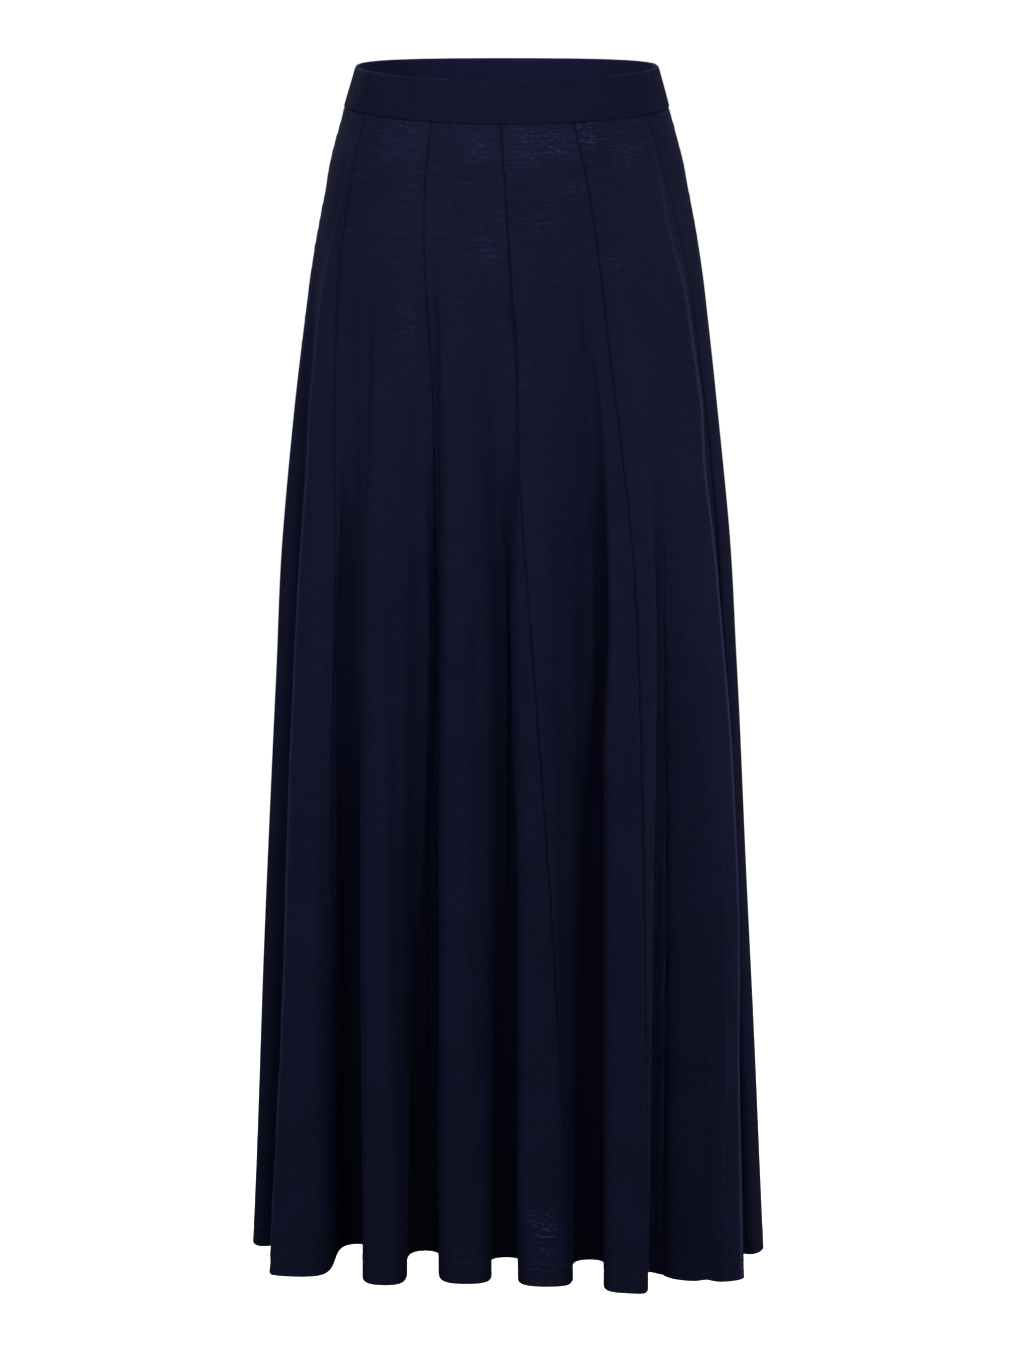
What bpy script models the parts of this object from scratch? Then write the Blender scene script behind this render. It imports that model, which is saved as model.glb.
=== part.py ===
"""Maxi skirt in its worn form: twelve flared gores that hang from a waistband of two halves.

Metres, +Z up. The origin is the middle of the waistband's top edge, where the waist holds the skirt.
The front faces -Y, and +X is on the right of someone who looks at the front.

At each drop below the waistband's top edge the cloth follows one closed curve, the ring. At the waist
and hip the ring is bare. From the hip down it bends into folds, which the two tables of folds set at
the knee and at the hem. A place round the skirt is counted in folds: a whole number is the crest of
that fold, 0 at the left side, 1 to 6 across the front, 7 at the right side and 8 to 14 at the back.
"""

import math

import bpy
import numpy as np

COLLECTION = "maxi skirt"

WAISTBAND_DROP = 0.034
KNEE_DROP = 0.45
HEM_DROP = 1.02
GORE_CLOTH = 0.002
WAISTBAND_CLOTH = 0.0034
SEAM_GAP = 0.0003
SIDE_RISE = 0.0035  # the waistband sits this much higher at the sides than in front
SIDE_RISE_FADES = 0.5
FOLDS_START = 0.12
CENTRE_FRONT = 3.69  # counted in folds

# The bare form: half the width, and the depth in front of and behind the middle
SECTIONS = (
    # drop, half_width, front, back
    (0.000, 0.1255, 0.0935, 0.0935),
    (0.034, 0.1342, 0.1040, 0.1040),
    (0.090, 0.1490, 0.1155, 0.1180),
    (0.190, 0.1662, 0.1260, 0.1335),
    (0.450, 0.1810, 0.1305, 0.1400),
    (1.020, 0.1930, 0.1300, 0.1400),
)

# One row for each fold: its crest, then the valley on its right. Headings are in degrees from +X
FOLD_COLUMNS = ("x", "y", "half_width", "crown", "heading", "dip_x", "dip_y", "dip_half_width")
KNEE_FOLDS = (
    (-0.1900, -0.030, 0.015, 0.003, 186, -0.166, -0.066, 0.007),
    (-0.1660, -0.090, 0.016, 0.003, 238, -0.129, -0.099, 0.008),
    (-0.1110, -0.132, 0.015, 0.003, 255, -0.065, -0.114, 0.009),
    (-0.0420, -0.146, 0.018, 0.003, 264, 0.000, -0.116, 0.009),
    (0.0240, -0.148, 0.020, 0.003, 272, 0.072, -0.113, 0.009),
    (0.0970, -0.142, 0.018, 0.003, 282, 0.126, -0.115, 0.005),
    (0.1550, -0.103, 0.025, 0.004, 305, 0.168, -0.066, 0.007),
    (0.1870, -0.042, 0.016, 0.003, 350, 0.164, 0.006, 0.009),
    (0.1820, 0.050, 0.018, 0.003, 20, 0.145, 0.072, 0.009),
    (0.1430, 0.108, 0.019, 0.003, 48, 0.102, 0.107, 0.009),
    (0.0820, 0.142, 0.019, 0.003, 73, 0.043, 0.123, 0.009),
    (0.0120, 0.155, 0.019, 0.003, 88, -0.023, 0.125, 0.009),
    (-0.0580, 0.149, 0.019, 0.003, 103, -0.086, 0.115, 0.009),
    (-0.1250, 0.122, 0.019, 0.003, 124, -0.137, 0.083, 0.009),
    (-0.1720, 0.064, 0.017, 0.003, 153, -0.162, 0.018, 0.009),
)
HEM_FOLDS = (
    (-0.2180, -0.040, 0.019, 0.004, 193, -0.164, -0.064, 0.016),
    (-0.1790, -0.124, 0.0265, 0.004, 262, -0.128, -0.038, 0.018),
    (-0.1085, -0.146, 0.024, 0.004, 264, -0.070, -0.056, 0.018),
    (-0.0385, -0.143, 0.0265, 0.004, 268, 0.000, -0.074, 0.018),
    (0.0350, -0.150, 0.0285, 0.004, 270, 0.071, -0.080, 0.018),
    (0.1010, -0.164, 0.0205, 0.004, 276, 0.122, -0.112, 0.009),
    (0.1680, -0.126, 0.032, 0.010, 280, 0.176, -0.078, 0.016),
    (0.2165, -0.060, 0.024, 0.005, 346, 0.148, 0.004, 0.018),
    (0.2130, 0.052, 0.024, 0.004, 14, 0.132, 0.062, 0.018),
    (0.1640, 0.126, 0.025, 0.004, 45, 0.090, 0.090, 0.018),
    (0.0900, 0.160, 0.024, 0.004, 75, 0.042, 0.094, 0.018),
    (0.0110, 0.172, 0.025, 0.004, 92, -0.025, 0.094, 0.018),
    (-0.0680, 0.164, 0.024, 0.004, 104, -0.086, 0.086, 0.018),
    (-0.1430, 0.134, 0.026, 0.004, 128, -0.127, 0.062, 0.018),
    (-0.2000, 0.068, 0.024, 0.004, 158, -0.150, 0.010, 0.018),
)
KNEE_SHELF = 0.006  # the right flank of a fold stands out by this much at the knee
HEM_SHELF = 0.0

# Each gore, and where the seam on its left runs, counted in folds, at each of the seam drops
SEAM_DROPS = (0.034, 0.10, 0.19, 0.45, 1.02)
GORES = (
    ("gore_front_left_side", (-0.06, -0.07, -0.09, -0.14, -0.12)),
    ("gore_front_left_middle", (1.02, 1.07, 1.15, 1.25, 1.27)),
    ("gore_front_left_centre", (2.41, 2.46, 2.55, 2.51, 2.50)),
    ("gore_front_right_centre", (3.59, 3.68, 3.77, 3.96, 4.16)),
    ("gore_front_right_middle", (4.80, 4.94, 5.00, 5.09, 5.16)),
    ("gore_front_right_side", (6.28, 6.42, 6.60, 6.75, 6.80)),
    ("gore_back_right_side", (7.44, 7.48, 7.53, 7.66, 7.84)),
    ("gore_back_right_middle", (8.69, 8.72, 8.77, 8.90, 9.05)),
    ("gore_back_right_centre", (9.93, 9.97, 10.03, 10.14, 10.26)),
    ("gore_back_left_centre", (11.19, 11.24, 11.30, 11.40, 11.48)),
    ("gore_back_left_middle", (12.43, 12.46, 12.51, 12.60, 12.64)),
    ("gore_back_left_side", (13.67, 13.70, 13.74, 13.78, 13.79)),
)

# The waistband's section, from its outer lower edge up over the fold and down its inside
WAISTBAND_SECTION = (
    # share of the half thickness, drop
    (1.0, 0.0340),
    (1.0, 0.0180),
    (1.0, 0.0020),
    (0.6, 0.0004),
    (0.0, 0.0000),
    (-0.6, 0.0004),
    (-1.0, 0.0020),
    (-1.0, 0.0180),
    (-1.0, 0.0340),
)

FOLD_COUNT = len(HEM_FOLDS)
CONTROLS_PER_FOLD = 7  # left edge, crest, right edge, right flank, right foot, next left foot, flank
COLUMNS_PER_FOLD = 14
GORE_ROWS = 12
ROW_CROWDING = 1.25  # over 1, rows lie closer together near the hip
WAISTBAND_COLUMNS = 26
ARC_STEPS = 1440

NAVY = (0.0085, 0.0089, 0.0295, 1.0)
KNIT_ROUGHNESS = 0.85


def columns(rows, names):
    """A table's rows as one array for each named column."""
    return dict(zip(names, np.array(rows, float).T))


def smooth_rows(places, rows, place):
    """The row at a place between given rows, along a smooth curve that never overshoots them."""
    places = np.asarray(places, float)
    rows = np.stack([np.asarray(row, float) for row in rows])
    flat = rows.reshape(len(rows), -1)
    step = np.diff(places)[:, None]
    rise = np.diff(flat, axis=0) / step
    slope = np.zeros_like(flat)
    slope[0] = rise[0]
    slope[-1] = rise[-1]
    before = rise[:-1]
    after = rise[1:]
    same_way = before * after > 0
    weight_before = 2 * step[1:] + step[:-1]
    weight_after = step[1:] + 2 * step[:-1]
    safe_before = np.where(same_way, before, 1)
    safe_after = np.where(same_way, after, 1)
    mean = (weight_before + weight_after) / (weight_before / safe_before + weight_after / safe_after)
    slope[1:-1] = np.where(same_way, mean, 0)
    k = int(np.clip(np.searchsorted(places, place) - 1, 0, len(places) - 2))
    t = (place - places[k]) / step[k, 0]
    found = (
        (1 + 2 * t) * (1 - t) ** 2 * flat[k]
        + t * (1 - t) ** 2 * step[k, 0] * slope[k]
        + t * t * (3 - 2 * t) * flat[k + 1]
        + t * t * (t - 1) * step[k, 0] * slope[k + 1]
    )
    return found.reshape(rows.shape[1:])


def bare_size(drop):
    """Half width, front depth and back depth of the bare form at a drop."""
    table = np.array(SECTIONS)
    return smooth_rows(table[:, 0], table[:, 1:], drop)


def bare_ring(drop, shares):
    """Points of the bare form at shares of its girth, counted from the centre front to the right."""
    half_width, front, back = bare_size(drop)
    angle = np.linspace(0, 2 * math.pi, ARC_STEPS + 1)
    x = half_width * np.sin(angle)
    y = -np.cos(angle) * np.where(np.cos(angle) > 0, front, back)
    arc = np.concatenate([[0], np.cumsum(np.hypot(np.diff(x), np.diff(y)))])
    at = np.mod(shares, 1) * arc[-1]
    return np.stack([np.interp(at, arc, x), np.interp(at, arc, y)], axis=-1)


def unit(vectors):
    return vectors / np.linalg.norm(vectors, axis=-1, keepdims=True)


def folded_ring(rows, shelf):
    """Control points of a ring with folds, seven for each row of the table."""
    fold = columns(rows, FOLD_COLUMNS)
    heading = np.radians(fold["heading"])
    outward = np.stack([np.cos(heading), np.sin(heading)], axis=-1)
    along = np.stack([-outward[:, 1], outward[:, 0]], axis=-1)
    crest = np.stack([fold["x"], fold["y"]], axis=-1)
    half = fold["half_width"][:, None] * along
    left = crest - half
    right = crest + half
    top = crest + fold["crown"][:, None] * outward
    across = unit(along + np.roll(along, -1, axis=0))
    away = np.stack([across[:, 1], -across[:, 0]], axis=-1)
    dip = np.stack([fold["dip_x"], fold["dip_y"]], axis=-1)
    foot = fold["dip_half_width"][:, None] * across
    right_flank = (right + dip - foot) / 2 + shelf * (across + away)
    next_left_flank = (np.roll(left, -1, axis=0) + dip + foot) / 2
    points = [left, top, right, right_flank, dip - foot, dip + foot, next_left_flank]
    return np.stack(points, axis=1).reshape(-1, 2)


def fold_offsets():
    """How far the knee's and the hem's control points lie from the bare form's."""
    steps = np.arange(-1, CONTROLS_PER_FOLD - 1) / CONTROLS_PER_FOLD
    places = (np.arange(FOLD_COUNT)[:, None] + steps[None]).reshape(-1)
    shares = (places - CENTRE_FRONT) / FOLD_COUNT
    knee = folded_ring(KNEE_FOLDS, KNEE_SHELF) - bare_ring(KNEE_DROP, shares)
    hem = folded_ring(HEM_FOLDS, HEM_SHELF) - bare_ring(HEM_DROP, shares)
    return shares, knee, hem


SHARES, KNEE_OFFSETS, HEM_OFFSETS = fold_offsets()


def ring_controls(drop):
    """Control points of the ring at a drop."""
    none = np.zeros_like(KNEE_OFFSETS)
    drops = (WAISTBAND_DROP, FOLDS_START, KNEE_DROP, HEM_DROP)
    offsets = smooth_rows(drops, (none, none, KNEE_OFFSETS, HEM_OFFSETS), max(drop, WAISTBAND_DROP))
    return bare_ring(drop, SHARES) + offsets


def ring(drop, places):
    """Points, unit outward normals and metres per fold of the ring's cubic B-spline."""
    control = ring_controls(drop)
    at = np.asarray(places, float) * CONTROLS_PER_FOLD + 1
    whole = np.floor(at).astype(int)
    t = (at - whole)[:, None]
    a, b, c, d = (control[(whole + k) % len(control)] for k in (-1, 0, 1, 2))
    point = (
        (1 - t) ** 3 * a + (3 * t**3 - 6 * t**2 + 4) * b + (-3 * t**3 + 3 * t**2 + 3 * t + 1) * c + t**3 * d
    ) / 6
    tangent = (-((1 - t) ** 2) * a + (3 * t**2 - 4 * t) * b + (-3 * t**2 + 2 * t + 1) * c + t**2 * d) / 2
    stretch = np.linalg.norm(tangent, axis=-1) * CONTROLS_PER_FOLD
    tangent = unit(tangent)
    normal = np.stack([tangent[:, 1], -tangent[:, 0]], axis=-1)
    return point, normal, stretch


def height(drop, x):
    """The height of a point at this drop: the waist sits a little higher at the sides."""
    side = np.clip(x / bare_size(drop)[0], -1, 1) ** 2
    return SIDE_RISE * side * max(0.0, 1 - drop / SIDE_RISE_FADES) - drop


def wall_points(drop, places, offset):
    """Points of the cloth, moved out from its middle by an offset."""
    point, normal, _ = ring(drop, places)
    z = height(drop, point[:, 0])
    return np.column_stack([point + offset * normal, z])


def seam_place(places, drop, side):
    """Where a gore ends at its seam, counted in folds: half the gap to one side of the seam's line."""
    middle = float(smooth_rows(SEAM_DROPS, places, drop))
    stretch = ring(drop, [middle])[2][0]
    return middle + side * SEAM_GAP / 2 / stretch


def row_places(drop, left_seam, right_seam):
    """The places of one row of a gore's points: its two seams, and the even columns between them."""
    left = seam_place(left_seam, drop, 1)
    right = seam_place(right_seam, drop, -1)
    margin = 0.3 / COLUMNS_PER_FOLD
    first = math.ceil((left + margin) * COLUMNS_PER_FOLD)
    last = math.floor((right - margin) * COLUMNS_PER_FOLD)
    between = np.arange(first, last + 1) / COLUMNS_PER_FOLD
    return np.concatenate([[left], between, [right]])


def strip_faces(upper_places, lower_places, upper, lower):
    """Triangles between two rows of points, seen from outside, each joined to its nearest place."""
    faces = []
    i = 0
    j = 0
    while i < len(upper) - 1 or j < len(lower) - 1:
        upper_next = upper_places[i + 1] if i < len(upper) - 1 else math.inf
        lower_next = lower_places[j + 1] if j < len(lower) - 1 else math.inf
        if upper_next < lower_next:
            faces.append((upper[i], lower[j], upper[i + 1]))
            i += 1
        else:
            faces.append((upper[i], lower[j], lower[j + 1]))
            j += 1
    return faces


def gore_mesh(left_seam, right_seam):
    """A gore's wall: rows of outer and inner points from the waistband to the hem, closed at its edges."""
    top = WAISTBAND_DROP + SEAM_GAP
    steps = np.linspace(0, 1, GORE_ROWS + 1) ** ROW_CROWDING
    drops = top + (HEM_DROP - top) * steps
    points = []
    outer = []
    inner = []
    rows = []
    for drop in drops:
        places = row_places(drop, left_seam, right_seam)
        rows.append(places)
        for offset, found in ((GORE_CLOTH / 2, outer), (-GORE_CLOTH / 2, inner)):
            found.append(list(range(len(points), len(points) + len(places))))
            points.extend(wall_points(drop, places, offset).tolist())
    faces = []
    for k in range(GORE_ROWS):
        outside = strip_faces(rows[k], rows[k + 1], outer[k], outer[k + 1])
        inside = strip_faces(rows[k], rows[k + 1], inner[k], inner[k + 1])
        faces.extend(outside)
        faces.extend(face[::-1] for face in inside)
        faces.append((outer[k][0], inner[k][0], inner[k + 1][0], outer[k + 1][0]))
        faces.append((outer[k][-1], outer[k + 1][-1], inner[k + 1][-1], inner[k][-1]))
    for a in range(len(outer[0]) - 1):
        faces.append((outer[0][a], outer[0][a + 1], inner[0][a + 1], inner[0][a]))
    for a in range(len(outer[-1]) - 1):
        faces.append((outer[-1][a + 1], outer[-1][a], inner[-1][a], inner[-1][a + 1]))
    return points, faces


def waistband_mesh(left_seam, right_seam):
    """Half of the waistband: its folded section carried round from one side seam to the other."""
    sections = []
    for share, drop in WAISTBAND_SECTION:
        left = seam_place(left_seam, WAISTBAND_DROP, 1)
        right = seam_place(right_seam, WAISTBAND_DROP, -1)
        places = np.linspace(left, right, WAISTBAND_COLUMNS + 1)
        sections.append(wall_points(drop, places, share * WAISTBAND_CLOTH / 2))
    points = np.concatenate(sections).tolist()
    width = WAISTBAND_COLUMNS + 1
    count = len(WAISTBAND_SECTION)
    faces = []
    for k in range(count):
        above = (k + 1) % count
        for a in range(WAISTBAND_COLUMNS):
            here = k * width + a
            there = above * width + a
            faces.append((here, here + 1, there + 1, there))
    faces.append(tuple(k * width for k in range(count)))
    faces.append(tuple(k * width + WAISTBAND_COLUMNS for k in reversed(range(count))))
    return points, faces


def knit_material():
    material = bpy.data.materials.new("navy_knit")
    material.use_nodes = True
    shader = material.node_tree.nodes["Principled BSDF"]
    shader.inputs["Base Color"].default_value = NAVY
    shader.inputs["Roughness"].default_value = KNIT_ROUGHNESS
    shader.inputs["Metallic"].default_value = 0.0
    return material


def add_piece(name, mesh_data, material, collection):
    points, faces = mesh_data
    mesh = bpy.data.meshes.new(name)
    mesh.from_pydata(points, [], faces)
    mesh.materials.append(material)
    mesh.update()
    mesh.shade_smooth()
    mesh.set_sharp_from_angle(angle=math.radians(50))
    piece = bpy.data.objects.new(name, mesh)
    collection.objects.link(piece)
    return piece


def clear_scene():
    for thing in list(bpy.data.objects):
        bpy.data.objects.remove(thing)


def build():
    clear_scene()
    collection = bpy.data.collections.new(COLLECTION)
    bpy.context.scene.collection.children.link(collection)
    material = knit_material()

    seams = [places for _, places in GORES]
    seams.append(tuple(place + FOLD_COUNT for place in seams[0]))
    for k, (name, _) in enumerate(GORES):
        add_piece(name, gore_mesh(seams[k], seams[k + 1]), material, collection)

    half = len(GORES) // 2
    add_piece("waistband_front", waistband_mesh(seams[0], seams[half]), material, collection)
    add_piece("waistband_back", waistband_mesh(seams[half], seams[-1]), material, collection)


if __name__ == "__main__":
    build()
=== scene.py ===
"""The looks of the maxi skirt: fine knit gores with their seams and hem, and the folded waistband.

The cloth follows the same closed curves as the solids: at each drop below the waistband's top edge a
ring runs round the skirt, bare at the waist and hip and bent into folds from there to the hem. A place
round the skirt is counted in folds: 0 at the left side, 1 to 6 across the front, 7 at the right side
and 8 to 14 at the back. Here each gore is a thin shell on that form, with its creases, its seams'
grooves and puckers, and the hem that is turned up inside it.
"""

import math

import bpy
import numpy as np
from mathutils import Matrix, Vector


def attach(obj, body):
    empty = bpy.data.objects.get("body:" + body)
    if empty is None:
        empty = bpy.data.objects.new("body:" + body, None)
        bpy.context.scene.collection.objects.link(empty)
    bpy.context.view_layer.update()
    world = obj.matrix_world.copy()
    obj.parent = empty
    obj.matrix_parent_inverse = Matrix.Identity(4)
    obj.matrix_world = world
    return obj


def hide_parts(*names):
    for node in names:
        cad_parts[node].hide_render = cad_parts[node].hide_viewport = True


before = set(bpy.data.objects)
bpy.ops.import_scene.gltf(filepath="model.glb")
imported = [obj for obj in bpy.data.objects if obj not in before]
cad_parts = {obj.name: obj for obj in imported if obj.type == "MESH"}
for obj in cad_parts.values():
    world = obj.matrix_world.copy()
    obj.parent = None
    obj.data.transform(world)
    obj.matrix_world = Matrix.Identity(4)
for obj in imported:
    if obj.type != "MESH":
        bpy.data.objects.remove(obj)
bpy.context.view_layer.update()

# ---------------------------------------------------------------- the form, as in the solids

WAISTBAND_DROP = 0.034
KNEE_DROP = 0.45
HEM_DROP = 1.02
SEAM_GAP = 0.0003  # between the gores' tops and the waistband
SIDE_RISE = 0.0035  # the waist sits this much higher at the sides
SIDE_RISE_FADES = 0.5
FOLDS_START = 0.12
CENTRE_FRONT = 3.69  # its place round the skirt

SECTION_COLUMNS = ("drop", "half_width", "front", "back")
SECTIONS = (
    (0.000, 0.1255, 0.0935, 0.0935),
    (0.034, 0.1342, 0.1040, 0.1040),
    (0.090, 0.1490, 0.1155, 0.1180),
    (0.190, 0.1662, 0.1260, 0.1335),
    (0.450, 0.1810, 0.1305, 0.1400),
    (1.020, 0.1930, 0.1300, 0.1400),
)

FOLD_COLUMNS = ("x", "y", "half_width", "crown", "heading", "dip_x", "dip_y", "dip_half_width")
KNEE_FOLDS = (
    (-0.1900, -0.030, 0.015, 0.003, 186, -0.166, -0.066, 0.007),
    (-0.1660, -0.090, 0.016, 0.003, 238, -0.129, -0.099, 0.008),
    (-0.1110, -0.132, 0.015, 0.003, 255, -0.065, -0.114, 0.009),
    (-0.0420, -0.146, 0.018, 0.003, 264, 0.000, -0.116, 0.009),
    (0.0240, -0.148, 0.020, 0.003, 272, 0.072, -0.113, 0.009),
    (0.0970, -0.142, 0.018, 0.003, 282, 0.126, -0.115, 0.005),
    (0.1550, -0.103, 0.025, 0.004, 305, 0.168, -0.066, 0.007),
    (0.1870, -0.042, 0.016, 0.003, 350, 0.164, 0.006, 0.009),
    (0.1820, 0.050, 0.018, 0.003, 20, 0.145, 0.072, 0.009),
    (0.1430, 0.108, 0.019, 0.003, 48, 0.102, 0.107, 0.009),
    (0.0820, 0.142, 0.019, 0.003, 73, 0.043, 0.123, 0.009),
    (0.0120, 0.155, 0.019, 0.003, 88, -0.023, 0.125, 0.009),
    (-0.0580, 0.149, 0.019, 0.003, 103, -0.086, 0.115, 0.009),
    (-0.1250, 0.122, 0.019, 0.003, 124, -0.137, 0.083, 0.009),
    (-0.1720, 0.064, 0.017, 0.003, 153, -0.162, 0.018, 0.009),
)
HEM_FOLDS = (
    (-0.2180, -0.040, 0.019, 0.004, 193, -0.164, -0.064, 0.016),
    (-0.1790, -0.124, 0.0265, 0.004, 262, -0.128, -0.038, 0.018),
    (-0.1085, -0.146, 0.024, 0.004, 264, -0.070, -0.056, 0.018),
    (-0.0385, -0.143, 0.0265, 0.004, 268, 0.000, -0.074, 0.018),
    (0.0350, -0.150, 0.0285, 0.004, 270, 0.071, -0.080, 0.018),
    (0.1010, -0.164, 0.0205, 0.004, 276, 0.122, -0.112, 0.009),
    (0.1680, -0.126, 0.032, 0.010, 280, 0.176, -0.078, 0.016),
    (0.2165, -0.060, 0.024, 0.005, 346, 0.148, 0.004, 0.018),
    (0.2130, 0.052, 0.024, 0.004, 14, 0.132, 0.062, 0.018),
    (0.1640, 0.126, 0.025, 0.004, 45, 0.090, 0.090, 0.018),
    (0.0900, 0.160, 0.024, 0.004, 75, 0.042, 0.094, 0.018),
    (0.0110, 0.172, 0.025, 0.004, 92, -0.025, 0.094, 0.018),
    (-0.0680, 0.164, 0.024, 0.004, 104, -0.086, 0.086, 0.018),
    (-0.1430, 0.134, 0.026, 0.004, 128, -0.127, 0.062, 0.018),
    (-0.2000, 0.068, 0.024, 0.004, 158, -0.150, 0.010, 0.018),
)
KNEE_SHELF = 0.006
HEM_SHELF = 0.0

# Each gore: the width of its cut at the hem, its area, and the place of its left seam at each drop
SEAM_DROPS = (0.034, 0.10, 0.19, 0.45, 1.02)
GORES = (
    ("front_left_side", 0.240, 0.134, (-0.06, -0.07, -0.09, -0.14, -0.12)),
    ("front_left_middle", 0.293, 0.146, (1.02, 1.07, 1.15, 1.25, 1.27)),
    ("front_left_centre", 0.332, 0.172, (2.41, 2.46, 2.55, 2.51, 2.50)),
    ("front_right_centre", 0.196, 0.129, (3.59, 3.68, 3.77, 3.96, 4.16)),
    ("front_right_middle", 0.248, 0.153, (4.80, 4.94, 5.00, 5.09, 5.16)),
    ("front_right_side", 0.205, 0.112, (6.28, 6.42, 6.60, 6.75, 6.80)),
    ("back_right_side", 0.222, 0.133, (7.44, 7.48, 7.53, 7.66, 7.84)),
    ("back_right_middle", 0.229, 0.137, (8.69, 8.72, 8.77, 8.90, 9.05)),
    ("back_right_centre", 0.252, 0.147, (9.93, 9.97, 10.03, 10.14, 10.26)),
    ("back_left_centre", 0.225, 0.133, (11.19, 11.24, 11.30, 11.40, 11.48)),
    ("back_left_middle", 0.222, 0.128, (12.43, 12.46, 12.51, 12.60, 12.64)),
    ("back_left_side", 0.205, 0.127, (13.67, 13.70, 13.74, 13.78, 13.79)),
)

FOLD_COUNT = len(HEM_FOLDS)
CONTROLS_PER_FOLD = 7
ARC_STEPS = 1440
FINE_STEPS = 240  # for each fold, where a row's length is measured

# ---------------------------------------------------------------- sizes of the finer work

SOLID_HALF_WALL = 0.001  # the cloth's outside lies on the outside of the solid's wall
CLOTH = 0.0008
SEAM_SLIT = 0.00002  # between neighbours whose edges are sewn together
EDGE_COLUMNS = (0.0, 0.0004, 0.0009, 0.0015, 0.0023, 0.0034, 0.0050, 0.0072)
COLUMN_SPACING = 0.0042
OUTSIDE_ROWS = 230
INSIDE_ROWS = 70
ROWS_BELOW_BAND = (0.0, 0.0005, 0.0011, 0.0019, 0.0030)
GROOVE_DEPTH = 0.0009
GROOVE_HALF_WIDTH = 0.0010
SEAM_SWAY = 0.0017  # in folds
PUCKER_HEIGHT = 0.00045
PUCKER_REACH = 0.0042
TUCK_DEPTH = 0.0009  # the gores' tops turn in under the waistband
TUCK_REACH = 0.0012
UNEVENNESS = 0.00022
UNEVENNESS_START = 0.08
UNEVENNESS_GROWS = 0.2
HEM_TURN = 0.020
HEM_ROUND = 0.00085
HEM_ROWS = 6  # up the turned part
HEM_EDGE = 0.0003  # the height of its raw edge's step
ROWS_ABOVE_HEM = (0.0040, 0.0020, HEM_ROUND)
STITCH_ROWS = (0.0165, 0.0193)  # above the hem
STITCH_PITCH = 0.0032
STITCH_LENGTH = 0.0023
STITCH_RADIUS = 0.00026
STITCH_SIDES = 6
STITCH_LINE_POINTS = 400
ALLOWANCE_WIDTH = 0.0065
ALLOWANCE_ROWS = 140
ALLOWANCE_END = 0.002  # from its ends to the waistband and to the turned hem
ALLOWANCE_SWAY = 0.06
# Far enough from any seam that the seams' painted shade stays off the allowances
FAR_FROM_SEAM = 0.01
WAISTBAND_HALF_CLOTH = 0.0017
WAISTBAND_GROOVE_DEPTH = 0.0007
WAISTBAND_WAVE = 0.00016
FADE_SHARE = 0.35  # of the length of a pull, a crease or a pale edge, at each of its ends
GORE_SPACING = 0.5  # from one gore to the next in the cloth's pattern, so that no two gores look alike

# Where the cloth hangs off the solids' curves, by up to about two centimetres
PULL_COLUMNS = ("place", "top_drop", "foot_drop", "reach", "right", "forward")  # reach in folds
PULLS = (
    # The waistband and the sides
    (0.00, 0.005, 0.11, 0.50, -0.0013, 0.0),
    (7.05, 0.005, 0.11, 0.50, 0.0011, 0.0),
    (0.00, 0.16, 0.52, 0.35, -0.0015, 0.0),
    (7.05, 0.10, 1.50, 0.45, 0.0022, 0.0),
    (7.05, 0.14, 0.50, 0.40, 0.0016, 0.0),
    # The front folds' left edges and two of the valleys, from left to right
    (0.92, 0.11, 0.34, 0.16, -0.0034, 0.0),
    (0.92, 0.70, 1.90, 0.14, -0.0080, 0.0),
    (1.86, 0.24, 1.60, 0.14, 0.0046, 0.0),
    (1.86, 0.12, 0.70, 0.14, 0.0030, 0.0),
    (2.86, 0.20, 1.60, 0.14, 0.0040, 0.0),
    (2.58, 0.10, 0.66, 0.16, 0.0070, 0.0),
    (2.86, 0.10, 0.66, 0.12, 0.0030, 0.0),
    (3.86, 0.26, 0.95, 0.14, 0.0020, 0.0),
    (4.58, 0.12, 0.62, 0.16, 0.0085, 0.0),
    (4.82, 0.18, 0.56, 0.14, 0.0045, 0.0),
    # Right edges, and the valley between the two right folds
    (4.20, 0.52, 1.25, 0.12, -0.0045, 0.0),
    (5.15, 0.55, 1.60, 0.12, 0.0005, 0.0090),
    (5.60, 0.42, 1.60, 0.09, 0.0, 0.0060),
    (6.22, 0.11, 0.34, 0.16, 0.0060, 0.0020),
    (6.12, 0.28, 1.80, 0.24, 0.0104, 0.0100),
    (6.22, 0.42, 0.84, 0.16, 0.0032, 0.0),
    # The hollows just outside the first and the last front fold
    (0.40, 0.10, 1.70, 0.20, 0.0, -0.0120),
    (0.24, 0.10, 1.70, 0.20, 0.0, -0.0090),
    (0.44, 0.12, 0.70, 0.18, 0.0, -0.0090),
    (6.60, 0.12, 1.70, 0.18, 0.0, -0.0090),
    (6.84, 0.12, 1.70, 0.18, 0.0, -0.0100),
)

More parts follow.
